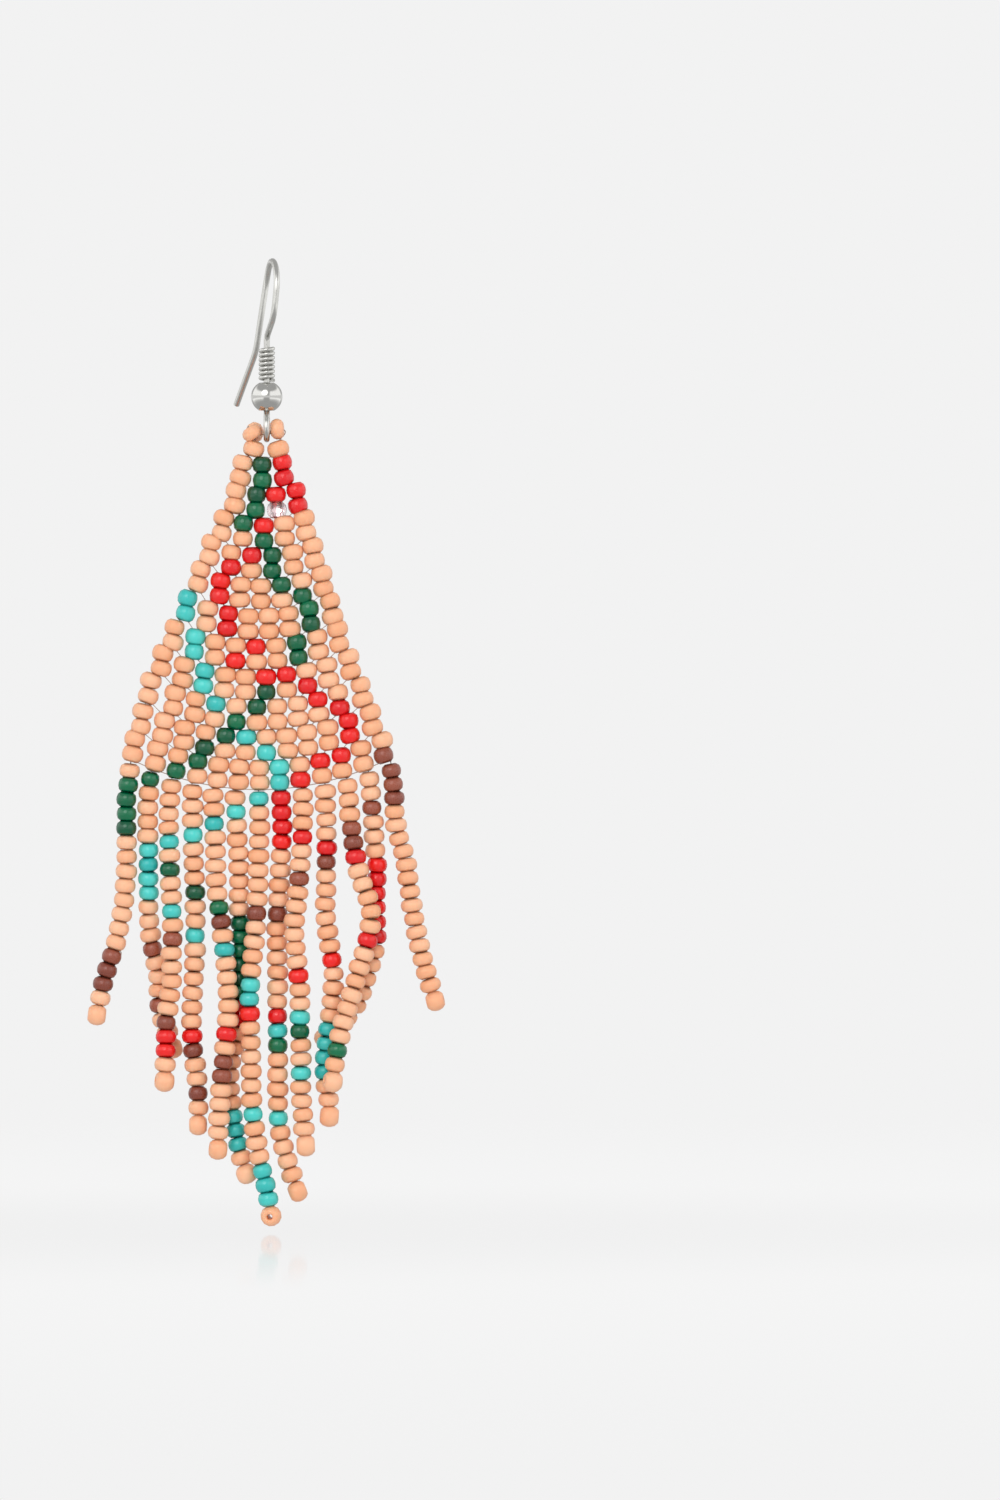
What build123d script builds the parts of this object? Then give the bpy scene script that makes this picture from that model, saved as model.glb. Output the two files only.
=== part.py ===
"""Beaded fringe earring: a wire hook with a coil and a ball, and a woven triangle of seed beads with a fringe.

Millimetres. +X is the wearer's view to the right, +Y goes away from the viewer and +Z is up. The origin is the
inside of the hook's arch at its highest point, where the earring hangs in an ear. Depths are counted down from it.
"""

import os
from math import cos, pi, radians, sin, sqrt, tan

from build123d import *

os.makedirs("parts", exist_ok=True)

# Ear wire
wire_diameter = 0.64
arch_radius = 3.1  # to the middle of the wire
arch_turn = 11.5  # degrees that the arch's plane is turned from the YZ plane
crook_top_depth = 5.5  # where the front limb leaves the vertical
crook_height = 2.0
crook_lean = 0.38  # sideways, out of the arch's plane
crook_top_radius = 2.4
crook_foot_radius = 0.9
shank_side = -0.56
shank_back = 0.3
neck_radius = 0.5
eye_radius = 1.2  # to the middle of the wire
eye_end_gap = 0.15  # between the wire's end and the shank
# The tail as (side, back, down) from the foot of the arch, in chosen places
TAIL_ROUTE = [
    (-0.56, 0.3, 2.3),
    (-1.14, 1.5, 6.1),
    (-3.27, 5.3, 11.6),
]
TAIL_BENDS = (12.0, 6.0)  # radii at the first two of those places

# Coil and ball on the shank
coil_wire_diameter = 0.42
coil_clearance = 0.12
coil_pitch = 0.47
coil_turns = 7
coil_headroom = 1.04  # from the crook's foot down to the coil's top
ball_diameter = 3.3
ball_height = 2.9
bore_clearance = 0.1
seat_gap = 0.05  # above and below the ball

# Seed beads and thread
bead_diameter = 2.0
bead_length = 1.5
bead_bore = 0.8
bead_rounding = 0.5
thread_diameter = 0.2
thread_seat_gap = 0.02

# Woven panel
column_pitch = 2.14
top_pitch = 2.6  # between the two beads of the top level, which leave room for the eye
row_pitch = 1.55
level_pitch = 3.15
first_level_pitch = 1.66
bottom_sag = 2.9
panel_hang = 0.64  # from the thread in the eye down to the panel's top
slot_depth = 0.75  # for the eye between the two top beads
slot_clearance = 0.1
# Sideways shift of each level's middle from the shank, as a share of the column pitch
LEVEL_SHIFTS = (-0.07, -0.23, -0.03, -0.14, -0.23, -0.28, -0.40, -0.51, -0.54, -0.49, -0.51, -0.36)

# The beads of the hanging loop: place and axis from the thread's seat in the eye, as (side, back, up)
LOOP_BEADS = [
    ((-1.45, -0.4, 0.5), (-0.5, 0.0, 0.87)),
    ((-1.42, 1.7, 0.55), (0.8, -0.6, 0.0)),
    ((1.3, -0.1, 0.68), (1.0, 0.0, 0.0)),
]

# Fringe
strand_diameter = 1.9
strand_gap = 0.15
# Each string's chosen route as (side, back, down) from its column's place under the panel
STRAND_ROUTES = {
    "01": [(-0.5, 0.0, 0.0), (-1.0, 0.0, 3.1), (-1.0, 0.0, 7.2), (-0.9, 0.0, 11.4), (-1.4, 0.0, 15.4),
           (-2.1, -0.1, 19.1), (-3.6, -0.1, 23.3), (-4.2, -0.1, 27.3)],
    "02": [(-0.5, 0.0, 0.0), (-1.0, 0.1, 2.9), (-0.9, 0.2, 6.8), (-0.8, 0.4, 10.7), (-0.9, 0.8, 14.3),
           (-0.6, 1.3, 18.0), (0.3, 1.7, 21.1), (0.1, 1.8, 24.4), (1.1, 1.9, 27.2), (2.0, 1.9, 29.9)],
    "03": [(-0.5, 0.0, 0.0), (-0.9, 0.0, 2.8), (-0.8, -0.1, 7.0), (-0.7, -0.2, 11.1), (-0.4, -0.3, 15.3),
           (-0.6, -0.4, 18.4), (-0.5, -0.4, 21.3), (-1.1, -0.4, 24.5), (-1.2, -0.4, 28.6), (-1.3, -0.5, 32.6)],
    "04": [(-0.6, 0.0, 0.0), (-0.5, 0.0, 3.2), (-0.5, 0.1, 7.4), (-0.2, 0.2, 11.5), (-0.3, 0.3, 15.7),
           (-0.3, 0.3, 19.6), (-0.7, 0.3, 23.6), (-0.5, 0.3, 27.9), (0.2, 0.3, 32.3), (0.0, 0.2, 36.6)],
    "05": [(-0.6, 0.0, 0.0), (-0.4, 0.0, 3.1), (-0.3, -0.1, 7.4), (-0.1, -0.3, 11.8), (0.6, -0.6, 15.9),
           (0.9, -0.8, 19.6), (1.2, -0.9, 23.0), (0.7, -1.0, 26.9), (0.3, -0.9, 30.8), (0.1, -0.8, 34.8),
           (-0.1, -0.7, 38.7)],
    "06": [(-0.4, 0.0, 0.0), (-0.3, 0.1, 3.2), (0.0, 0.3, 7.6), (0.0, 0.6, 12.0), (0.2, 0.9, 16.2),
           (0.0, 1.2, 20.4), (0.1, 1.2, 23.5), (-0.8, 1.1, 27.6), (-1.1, 1.1, 30.6), (-0.6, 1.0, 34.0),
           (0.0, 0.8, 37.6), (1.1, 0.7, 41.0)],
    "07": [(-0.1, 0.0, 0.0), (0.1, 0.0, 3.0), (-0.1, -0.1, 7.4), (-0.2, -0.3, 11.6), (-0.5, -0.6, 15.9),
           (-1.0, -0.8, 20.1), (-1.0, -0.8, 24.3), (-0.8, -0.7, 28.4), (-0.8, -0.6, 32.6), (-0.3, -0.5, 36.8),
           (0.7, -0.4, 41.1), (1.4, -0.3, 45.3)],
    "08": [(0.0, 0.0, 0.0), (0.3, 0.2, 2.8), (0.1, 0.4, 7.0), (-0.1, 0.6, 11.1), (-0.4, 0.6, 15.1),
           (-0.2, 0.5, 19.2), (-0.3, 0.4, 23.4), (-0.2, 0.3, 27.4), (-0.3, 0.3, 31.7), (-0.1, 0.3, 35.7),
           (1.0, 0.4, 39.3), (2.2, 0.4, 42.8)],
    "09": [(0.2, 0.0, 0.0), (0.3, -0.2, 2.8), (0.1, -0.4, 6.9), (-0.2, -0.6, 10.5), (-0.7, -0.7, 14.0),
           (-0.5, -0.6, 17.5), (0.0, -0.5, 20.9), (-0.1, -0.4, 24.6), (0.1, -0.4, 28.2), (0.0, -0.4, 31.6),
           (0.3, -0.4, 35.0), (0.7, -0.4, 38.3)],
    "10": [(0.4, 0.0, 0.0), (0.5, 0.0, 3.0), (0.6, 0.0, 6.9), (0.5, 0.0, 10.8), (0.4, 0.0, 13.9),
           (1.0, 0.0, 17.5), (1.4, 0.1, 20.5), (1.0, 0.2, 23.8), (0.5, 0.2, 27.4), (0.2, 0.3, 29.8),
           (0.9, 0.4, 32.8), (0.8, 0.4, 35.7)],
    "11": [(0.5, 0.0, 0.0), (0.8, -0.2, 3.2), (1.2, -0.5, 6.8), (1.8, -0.9, 10.2), (3.2, -1.2, 13.6),
           (2.8, -1.2, 16.8), (1.7, -1.2, 19.9), (1.2, -1.3, 22.2), (0.2, -1.6, 25.3), (-0.7, -1.8, 28.9),
           (-1.0, -1.8, 32.6)],
    "12": [(0.6, 0.0, 0.0), (1.0, 0.2, 2.9), (1.2, 0.4, 6.6), (1.6, 0.8, 10.0), (1.3, 1.1, 13.6),
           (1.6, 1.1, 16.7), (0.9, 1.0, 20.2), (-0.2, 1.3, 23.4), (-2.0, 2.0, 26.4), (-4.8, 2.5, 28.3)],
    "13": [(0.8, 0.0, 0.0), (1.2, 0.0, 2.9), (1.2, 0.0, 6.5), (2.4, 0.0, 10.0), (2.9, -0.1, 14.0),
           (3.5, -0.1, 17.9), (4.5, -0.1, 21.9), (5.8, -0.1, 25.8)],
}

# Places worked out from the sizes above
wire_radius = wire_diameter / 2
levels = len(LEVEL_SHIFTS)
arch_centre_z = wire_radius - arch_radius
ball_bore = wire_diameter + 2 * bore_clearance
coil_radius = wire_radius + coil_clearance + coil_wire_diameter / 2
coil_height = coil_turns * coil_pitch  # along the middle of its wire
coil_top_z = -crook_top_depth - crook_height - coil_headroom
ball_top_z = coil_top_z - coil_height - coil_wire_diameter - seat_gap
ball_bottom_z = ball_top_z - ball_height
# The shank opens into the eye at the neck, just below where the ball comes to rest on the bend
neck_z = ball_bottom_z - seat_gap + ball_bore / 2 - wire_radius * sqrt(2)
eye_centre_z = neck_z - eye_radius * sqrt(2)
seat_z = eye_centre_z - eye_radius + wire_radius + thread_diameter / 2 + thread_seat_gap
panel_top_z = seat_z - panel_hang


def tube(points, radii, radius):
    """A round tube along straight runs that are joined by tangent arcs."""
    path = FilletPolyline(*points, radius=radii)
    section = Plane(origin=path @ 0, z_dir=path % 0) * Circle(radius)
    return sweep(section, path=path)


def bend_radii(points):
    """The largest even arcs that a route's runs allow, one for each inner point."""
    corners = [Vector(*p) for p in points]
    radii = []
    for before, here, after in zip(corners, corners[1:], corners[2:]):
        turn = radians((here - before).get_angle(after - here))
        shorter = min((here - before).length, (after - here).length)
        radii.append(0.45 * shorter / tan(turn / 2))
    return radii


def on_arch(across, up):
    """A place in the arch's plane, from its middle."""
    turn = radians(arch_turn)
    return (-across * sin(turn), across * cos(turn), arch_centre_z + up)


def at_shank(back, z):
    """A place in the upright plane through the shank that the eye lies in."""
    return (shank_side, shank_back + back, z)


def octagon(radius, angles):
    """Corners of an octagon whose sides touch a circle of this radius, at these angles from its middle."""
    reach = radius / cos(pi / 8)
    return [(reach * cos(radians(a)), reach * sin(radians(a))) for a in angles]


def ear_hook():
    """The bent wire, from the end of the tail to the end of the eye."""
    foot = on_arch(arch_radius, 0)
    tail = [(foot[0] + side, foot[1] + back, foot[2] - down) for side, back, down in TAIL_ROUTE]
    arch = [on_arch(*corner) for corner in octagon(arch_radius, (22.5, 67.5, 112.5, 157.5))]
    limb = on_arch(-arch_radius, -crook_top_depth - arch_centre_z)
    crook = [(limb[0] - crook_lean, limb[1], limb[2]), at_shank(0, -crook_top_depth - crook_height)]
    neck = [at_shank(0, neck_z)]
    eye = [
        at_shank(back, eye_centre_z + up)
        for back, up in octagon(eye_radius, (157.5, 202.5, 247.5, 292.5, 337.5, 22.5))
    ]
    # The last stretch runs up at 45 degrees, and stops short of the shank
    end_back = wire_radius + eye_end_gap + wire_radius / sqrt(2)
    end = [at_shank(end_back, neck_z - end_back)]
    almost = 0.98  # of the arc that would leave no straight run
    radii = (
        list(TAIL_BENDS[::-1])
        + [almost * arch_radius] * len(arch)
        + [crook_top_radius, crook_foot_radius, neck_radius]
        + [almost * eye_radius] * len(eye)
    )
    return tube(tail[::-1] + arch + crook + neck + eye + end, radii, wire_radius)


def hook_coil():
    """The fine wire wound round the shank."""
    bottom = ball_top_z + seat_gap + coil_wire_diameter / 2
    path = Helix(coil_pitch, coil_height, coil_radius, center=at_shank(0, bottom))
    section = Plane(origin=path @ 0, z_dir=path % 0) * Circle(coil_wire_diameter / 2)
    return sweep(section, path=path, is_frenet=True)


def hook_ball():
    """The ball, flat where its hole comes out."""
    ball = Sphere(ball_diameter / 2) & Box(2 * ball_diameter, 2 * ball_diameter, ball_height)
    ball -= Cylinder(ball_bore / 2, 2 * ball_diameter)
    return Pos(*at_shank(0, ball_bottom_z + ball_height / 2)) * ball


def seed_bead():
    """One drilled bead, upright, with its middle at the origin."""
    bead = Cylinder(bead_diameter / 2, bead_length)
    bead = fillet(bead.edges().filter_by(GeomType.CIRCLE), bead_rounding)
    return bead - Cylinder(bead_bore / 2, 2 * bead_length)


def from_seat(side, back, up):
    """A place counted from the thread's seat in the eye."""
    return (shank_side + side, shank_back + back, seat_z + up)


def loop_beads():
    """The beads of the hanging loop, each on its own stretch of the thread."""
    return [Plane(origin=from_seat(*place), z_dir=axis) * seed_bead() for place, axis in LOOP_BEADS]


def loop_thread():
    """The thread from one bore of the panel through the loop's beads and the eye to the other bore."""
    mouths = []
    for place, axis in LOOP_BEADS:
        middle, along = Vector(*place), Vector(*axis).normalized() * (bead_length / 2 + thread_diameter)
        mouths.append((tuple(middle - along), tuple(middle + along)))
    (low_1, high_1), (low_2, high_2), (low_3, high_3) = mouths
    beside_eye = wire_radius + 0.65 * thread_diameter
    bores = [column_x(1, column) - shank_side for column in (0, 1)]
    foot = -panel_hang - bead_length / 2
    over_panel = -panel_hang + thread_diameter / 2 + thread_seat_gap
    route = [
        (bores[0], 0, foot),
        (bores[0], 0, over_panel),
        low_1,
        high_1,
        (high_1[0] - 0.2, high_1[1] + 0.9, high_1[2] + 0.25),
        (low_2[0] - 0.35, low_2[1] - 0.6, low_2[2] + 0.6),
        low_2,
        high_2,
        (-beside_eye, 0, 0),
        (beside_eye, 0, 0),
        low_3,
        high_3,
        (high_3[0], 0, over_panel + thread_diameter / 2),
        (bores[1], 0, over_panel),
        (bores[1], 0, foot),
    ]
    points = [from_seat(*p) for p in route]
    radii = [min(r, thread_diameter) for r in bend_radii(points)]
    return tube(points, radii, thread_diameter / 2)


def level_middle(level):
    """Where a level's middle is along X. The top level is 1 and has two columns."""
    return shank_side + LEVEL_SHIFTS[level - 1] * column_pitch


def column_x(level, column):
    """The middle of a column, counted from 0 at the left."""
    pitch = top_pitch if level == 1 else column_pitch
    return level_middle(level) + (column - level / 2) * pitch


def column_top_z(level, column):
    """A column's top. The rows sag between their ends, more with each level."""
    share = (2 * column - level) / level
    sag = bottom_sag * (level - 1) / (levels - 1)
    middle = panel_top_z
    if level > 1:
        middle -= first_level_pitch + (level - 2) * level_pitch
    return middle + sag * share**2


def column_bottom_z(column):
    """A column's lower end at the last level, where its string begins."""
    return column_top_z(levels, column) - row_pitch - bead_length


def woven_panel():
    """The woven triangle, stepped at its sides and along its lower edge as the columns of beads are."""
    left, right = [], []
    for level in range(1, levels + 1):
        start = column_x(level, 0) - column_pitch / 2
        end = column_x(level, level) + column_pitch / 2
        top = column_top_z(level, 0)
        below = column_top_z(level + 1, 0) if level < levels else column_bottom_z(0)
        left += [(start, top), (start, below)]
        right += [(end, top), (end, below)]
    bottom = []
    for column in range(1, levels):
        x, z = column_x(levels, column), column_bottom_z(column)
        bottom += [(x - column_pitch / 2, z), (x + column_pitch / 2, z)]
    # The outer columns' treads end where their neighbours begin
    left.append((bottom[0][0], left[-1][1]))
    right.append((bottom[-1][0], right[-1][1]))
    outline = Plane.XZ * make_face(Polyline(*left, *bottom, *right[::-1], close=True))
    panel = Pos(0, shank_back + bead_diameter / 2, 0) * extrude(outline, bead_diameter)
    slot = Box(wire_diameter + 2 * slot_clearance, 2 * bead_diameter, 2 * slot_depth)
    panel -= Pos(shank_side, shank_back, panel_top_z) * slot
    for column in (0, 1):
        bore = Cylinder(bead_bore / 2, 2 * bead_length)
        panel -= Pos(column_x(1, column), shank_back, panel_top_z) * bore
    return panel


def fringe_strand(number):
    """One string of the fringe as a tube with a round end bead."""
    column = int(number) - 1
    x, top = column_x(levels, column), column_bottom_z(column) - strand_gap
    points = [(x + side, shank_back + back, top - down) for side, back, down in STRAND_ROUTES[number]]
    radii = bend_radii(points)
    body = tube(points, radii, strand_diameter / 2)
    length = body.volume / (pi * (strand_diameter / 2) ** 2)
    print(f"strand {number}: length {length:.2f}, smallest bend {min(radii):.1f}")
    last, end = Vector(*points[-2]), Vector(*points[-1])
    middle = end - (end - last).normalized() * (bead_diameter / 2)
    return body + Pos(*middle) * Sphere(bead_diameter / 2)


def write(name, shapes):
    """Writes one node."""
    shapes = shapes if isinstance(shapes, list) else [shapes]
    solids = [solid for shape in shapes for solid in shape.solids()]
    export_step(solids[0] if len(solids) == 1 else Compound(children=solids), f"parts/{name}.step")


write("ear_hook", ear_hook())
write("hook_coil", hook_coil())
write("hook_ball", hook_ball())
write("loop_beads", loop_beads())
write("loop_thread", loop_thread())
write("woven_panel", woven_panel())
for number in STRAND_ROUTES:
    write(f"fringe_strand_{number}", fringe_strand(number))
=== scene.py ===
"""Beaded fringe earring: its seed beads, thread, steel finish and a plain studio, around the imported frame.

Metres. +X is the viewer's right, +Y goes away from the viewer and +Z is up. The origin is the inside of the
hook's arch at its highest point. Places and sizes of the beadwork are given in millimetres, and are turned
into metres where they are used.
"""

import math
import random

import bpy
from bpy.props import FloatProperty, FloatVectorProperty, IntProperty, PointerProperty
from mathutils import Matrix, Vector


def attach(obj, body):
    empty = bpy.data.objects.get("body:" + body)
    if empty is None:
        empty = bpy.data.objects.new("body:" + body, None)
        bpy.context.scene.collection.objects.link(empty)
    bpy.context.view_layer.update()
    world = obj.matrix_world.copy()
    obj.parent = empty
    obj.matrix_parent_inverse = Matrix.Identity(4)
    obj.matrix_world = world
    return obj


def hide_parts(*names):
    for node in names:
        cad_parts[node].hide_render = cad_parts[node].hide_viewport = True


bl_info = {
    "name": "Beaded fringe earring",
    "version": (1, 0, 0),
    "blender": (4, 5, 0),
    "location": "View3D > Sidebar > Earring",
    "description": "Strings the beads of a woven fringe earring and sets up its finishes and studio",
    "category": "Object",
}

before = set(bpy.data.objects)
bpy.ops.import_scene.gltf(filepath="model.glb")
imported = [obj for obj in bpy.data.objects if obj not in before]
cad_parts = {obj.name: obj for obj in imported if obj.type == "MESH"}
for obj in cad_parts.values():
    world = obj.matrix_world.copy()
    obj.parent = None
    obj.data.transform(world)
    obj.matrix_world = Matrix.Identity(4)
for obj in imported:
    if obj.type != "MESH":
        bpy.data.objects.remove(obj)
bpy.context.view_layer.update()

MM = 0.001
BODY = "drop"  # the moving body that carries all the beadwork

# Seeds of the small unevennesses, one for each sort of piece
PANEL_SEED = 11
PANEL_THREAD_SEED = 12
FRINGE_SEED = 13
LOOP_SEED = 14

# Places and sizes of the drop, as the source has them
SEAT = (-0.56, 0.3, -17.7396)  # the thread's seat in the eye
PANEL_TOP = -18.3796
LEVELS = 12
# Each level's shift to the side, in columns
LEVEL_SHIFTS = (-0.07, -0.23, -0.03, -0.14, -0.23, -0.28, -0.40, -0.51, -0.54, -0.49, -0.51, -0.36)
COLUMN_PITCH = 2.14
TOP_PITCH = 2.6
LEVEL_PITCH = 3.15
FIRST_LEVEL_PITCH = 1.66
BOTTOM_SAG = 2.9
STRAND_GAP = 0.15
SOLID_ROW_PITCH = 1.55
SOLID_BEAD_LENGTH = 1.5

# The beads of the hanging loop: their places from the seat, the ways their holes point, and their length as a
# share of another bead's
LOOP_BEADS = [
    ((-1.5, -0.4, 0.22), (-0.5, 0.0, 0.87)),
    ((-1.3, 1.7, 0.31), (0.8, -0.6, 0.0)),
    ((1.09, -0.1, 0.62), (1.0, 0.0, 0.0)),
]
LOOP_STRETCH = 0.86
# Its thread: how far it goes into the panel, and from the seat to either side of the eye's wire
LOOP_DEPTH = 0.7
EYE_REACH = 0.45

# The stripes that wander down the panel. A place is the level, its upper row a or lower row b, and the column
# counted from 1 at the left
PANEL_STRIPES = {
    "green": [
        "2a2 2b2 3a2 3b2 4a2",
        "4b3 5a4 5b4 6a5 6b6 7a7 7b7 8a7 8b7",
        "9b6 10a6 10b5 11a5 11b4 12a4 12b3",
    ],
    "red": [
        "2a3 2b3 3a4 3b4",
        "3a3 4a3 5a3 5b2 6a2 6b2 7a3 7b3",
        "8b4 8a5 9a6 9a7 9b8 10a9 10b10 11a11 11b11 12a11 12a10 12b9",
    ],
    "teal": [
        "7a1 7b1 8a2 8b2 9a3 9b3 10a4",
        "11a6 11b7 12a8 12b8",
    ],
    "brown": ["12b13"],
    "clear": ["3b3"],
}

# How far the beads at the ends of a level stand out of line: level, then (side, up)
LEFT_STRAYS = {
    5: (0.0, 0.36), 6: (0.0, 0.45), 7: (0.0, 0.3), 8: (0.0, 0.2), 9: (-0.1, 0.38), 10: (-0.46, 0.4),
    11: (-0.15, 0.1), 12: (-0.2, 0.15)}
RIGHT_STRAYS = {1: (0.12, 0.0), 7: (0.1, 0.0), 9: (0.15, 0.0), 10: (0.2, 0.0), 11: (0.2, 0.0)}
EDGE_LEAN = 0.13  # sideways for each millimetre up, at the panel's edges
PANEL_PLAY = (0.05, 0.12, 0.03)  # how far a bead of the panel is off its place, along X, Y and Z

# The panel's thread: where it leaves a bead's hole, from the bead's middle, and how far it is off its place
HOLE_DEPTH = 0.45
THREAD_PLAY = 0.1
# Its last row, above the strings' tops
LAST_ROW_RISE = 0.1
LAST_ROW_DEPTHS = (-0.3, 0.1)

# Each string of the fringe: its beads from the top, the way its end bead's hole looks in degrees from the
# viewer, and its route as (side, back, down) from its column's place under the panel
FRINGE = {
    "01": ("peach 1, green 4, peach 8, brown 3, peach 2", 84, [
        (-0.5, 0.0, 0.0), (-1.0, 0.0, 3.1), (-1.0, 0.0, 7.2), (-0.9, 0.0, 11.4), (-1.4, 0.0, 15.4),
        (-2.1, -0.1, 19.1), (-3.6, -0.1, 23.3), (-4.2, -0.1, 27.3)]),
    "02": ("green 1, peach 4, teal 4, peach 3, brown 1, peach 3, brown 1, peach 3", 80, [
        (-0.5, 0.0, 0.0), (-1.0, 0.1, 2.9), (-0.9, 0.2, 6.8), (-0.8, 0.4, 10.7), (-0.9, 0.8, 14.3),
        (-0.6, 1.3, 18.0), (0.3, 1.7, 21.1), (0.1, 1.8, 24.4), (1.1, 1.9, 27.2), (2.0, 1.9, 29.9)]),
    "03": ("peach 4, teal 1, peach 1, green 1, peach 2, teal 1, peach 1, brown 1, peach 5, brown 1, red 2, "
           "peach 2", 74, [
        (-0.5, 0.0, 0.0), (-0.9, 0.0, 2.8), (-0.8, -0.1, 7.0), (-0.7, -0.2, 11.1), (-0.4, -0.3, 15.3),
        (-0.6, -0.4, 18.4), (-0.5, -0.4, 21.3), (-1.1, -0.4, 24.5), (-1.2, -0.4, 28.6), (-1.3, -0.5, 32.6)]),
    "04": ("peach 3, teal 1, peach 3, green 1, peach 2, teal 1, peach 6, red 1, brown 1, peach 2, brown 1, "
           "peach 2", -82, [
        (-0.6, 0.0, 0.0), (-0.5, 0.0, 3.2), (-0.5, 0.1, 7.4), (-0.2, 0.2, 11.5), (-0.3, 0.3, 15.7),
        (-0.3, 0.3, 19.6), (-0.7, 0.3, 23.6), (-0.5, 0.3, 27.9), (0.2, 0.3, 32.3), (0.0, 0.2, 36.6)]),
    "05": ("peach 2, teal 1, peach 5, green 1, brown 1, peach 1, teal 1, peach 5, red 1, peach 1, brown 2, "
           "peach 5", 80, [
        (-0.6, 0.0, 0.0), (-0.4, 0.0, 3.1), (-0.3, -0.1, 7.4), (-0.1, -0.3, 11.8), (0.6, -0.6, 15.9),
        (0.9, -0.8, 19.6), (1.2, -0.9, 23.0), (0.7, -1.0, 26.9), (0.3, -0.9, 30.8), (0.1, -0.8, 34.8),
        (-0.1, -0.7, 38.7)]),
    "06": ("peach 1, teal 1, peach 7, green 6, red 2, peach 6, teal 3, peach 2", -78, [
        (-0.4, 0.0, 0.0), (-0.3, 0.1, 3.2), (0.0, 0.3, 7.6), (0.0, 0.6, 12.0), (0.2, 0.9, 16.2),
        (0.0, 1.2, 20.4), (0.1, 1.2, 23.5), (-0.8, 1.1, 27.6), (-1.1, 1.1, 30.6), (-0.6, 1.0, 34.0),
        (0.0, 0.8, 37.6), (1.1, 0.7, 41.0)]),
    "07": ("teal 1, peach 7, brown 1, peach 4, teal 2, red 1, peach 6, teal 1, peach 3, teal 3, peach 1", 8, [
        (-0.1, 0.0, 0.0), (0.1, 0.0, 3.0), (-0.1, -0.1, 7.4), (-0.2, -0.3, 11.6), (-0.5, -0.6, 15.9),
        (-1.0, -0.8, 20.1), (-1.0, -0.8, 24.3), (-0.8, -0.7, 28.4), (-0.8, -0.6, 32.6), (-0.3, -0.5, 36.8),
        (0.7, -0.4, 41.1), (1.4, -0.3, 45.3)]),
    "08": ("red 4, peach 4, brown 1, peach 6, red 1, teal 1, green 1, peach 4, teal 1, peach 5", 86, [
        (0.0, 0.0, 0.0), (0.3, 0.2, 2.8), (0.1, 0.4, 7.0), (-0.1, 0.6, 11.1), (-0.4, 0.6, 15.1),
        (-0.2, 0.5, 19.2), (-0.3, 0.4, 23.4), (-0.2, 0.3, 27.4), (-0.3, 0.3, 31.7), (-0.1, 0.3, 35.7),
        (1.0, 0.4, 39.3), (2.2, 0.4, 42.8)]),
    "09": ("peach 3, red 1, peach 2, brown 1, peach 6, red 1, peach 2, teal 1, green 1, peach 2, teal 1, "
           "peach 5", 84, [
        (0.2, 0.0, 0.0), (0.3, -0.2, 2.8), (0.1, -0.4, 6.9), (-0.2, -0.6, 10.5), (-0.7, -0.7, 14.0),
        (-0.5, -0.6, 17.5), (0.0, -0.5, 20.9), (-0.1, -0.4, 24.6), (0.1, -0.4, 28.2), (0.0, -0.4, 31.6),
        (0.3, -0.4, 35.0), (0.7, -0.4, 38.3)]),
    "10": ("peach 4, red 1, brown 1, peach 6, red 1, peach 4, teal 4, peach 3", 84, [
        (0.4, 0.0, 0.0), (0.5, 0.0, 3.0), (0.6, 0.0, 6.9), (0.5, 0.0, 10.8), (0.4, 0.0, 13.9),
        (1.0, 0.0, 17.5), (1.4, 0.1, 20.5), (1.0, 0.2, 23.8), (0.5, 0.2, 27.4), (0.2, 0.3, 29.8),
        (0.9, 0.4, 32.8), (0.8, 0.4, 35.7)]),
    "11": ("peach 3, brown 2, red 1, peach 5, red 1, peach 7, green 1, peach 2", 76, [
        (0.5, 0.0, 0.0), (0.8, -0.2, 3.2), (1.2, -0.5, 6.8), (1.8, -0.9, 10.2), (3.2, -1.2, 13.6),
        (2.8, -1.2, 16.8), (1.7, -1.2, 19.9), (1.2, -1.3, 22.2), (0.2, -1.6, 25.3), (-0.7, -1.8, 28.9),
        (-1.0, -1.8, 32.6)]),
    "12": ("peach 2, brown 1, peach 3, red 6, peach 8", 78, [
        (0.6, 0.0, 0.0), (1.0, 0.2, 2.9), (1.2, 0.4, 6.6), (1.6, 0.8, 10.0), (1.3, 1.1, 13.6),
        (1.6, 1.1, 16.7), (0.9, 1.0, 20.2), (-0.2, 1.3, 23.4), (-2.0, 2.0, 26.4), (-4.8, 2.5, 28.3)]),
    "13": ("brown 3, peach 15", -86, [
        (0.8, 0.0, 0.0), (1.2, 0.0, 2.9), (1.2, 0.0, 6.5), (2.4, 0.0, 10.0), (2.9, -0.1, 14.0),
        (3.5, -0.1, 17.9), (4.5, -0.1, 21.9), (5.8, -0.1, 25.8)]),
}

STRING_PLAY = 0.04  # how far a bead of the fringe is off its string's line
END_STRETCH = 1.18  # an end bead's length as a share of another bead's
# The thread's turn behind an end bead: up from its middle as a share of its width, and back as shares of its
# length
TURN_RISE = 0.2
TURN_DEPTHS = (0.6, 0.4)

# A stray end of thread beside the strings at the left, and its steps from its middle
STRAY_END = (-15.9, 0.1, -71.2)
STRAY_STEPS = [(-0.9, 0, 0.5), (0, 0, 0), (0.3, -0.1, -0.5), (-0.1, -0.2, -0.8), (0.1, -0.2, -1.2)]

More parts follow.
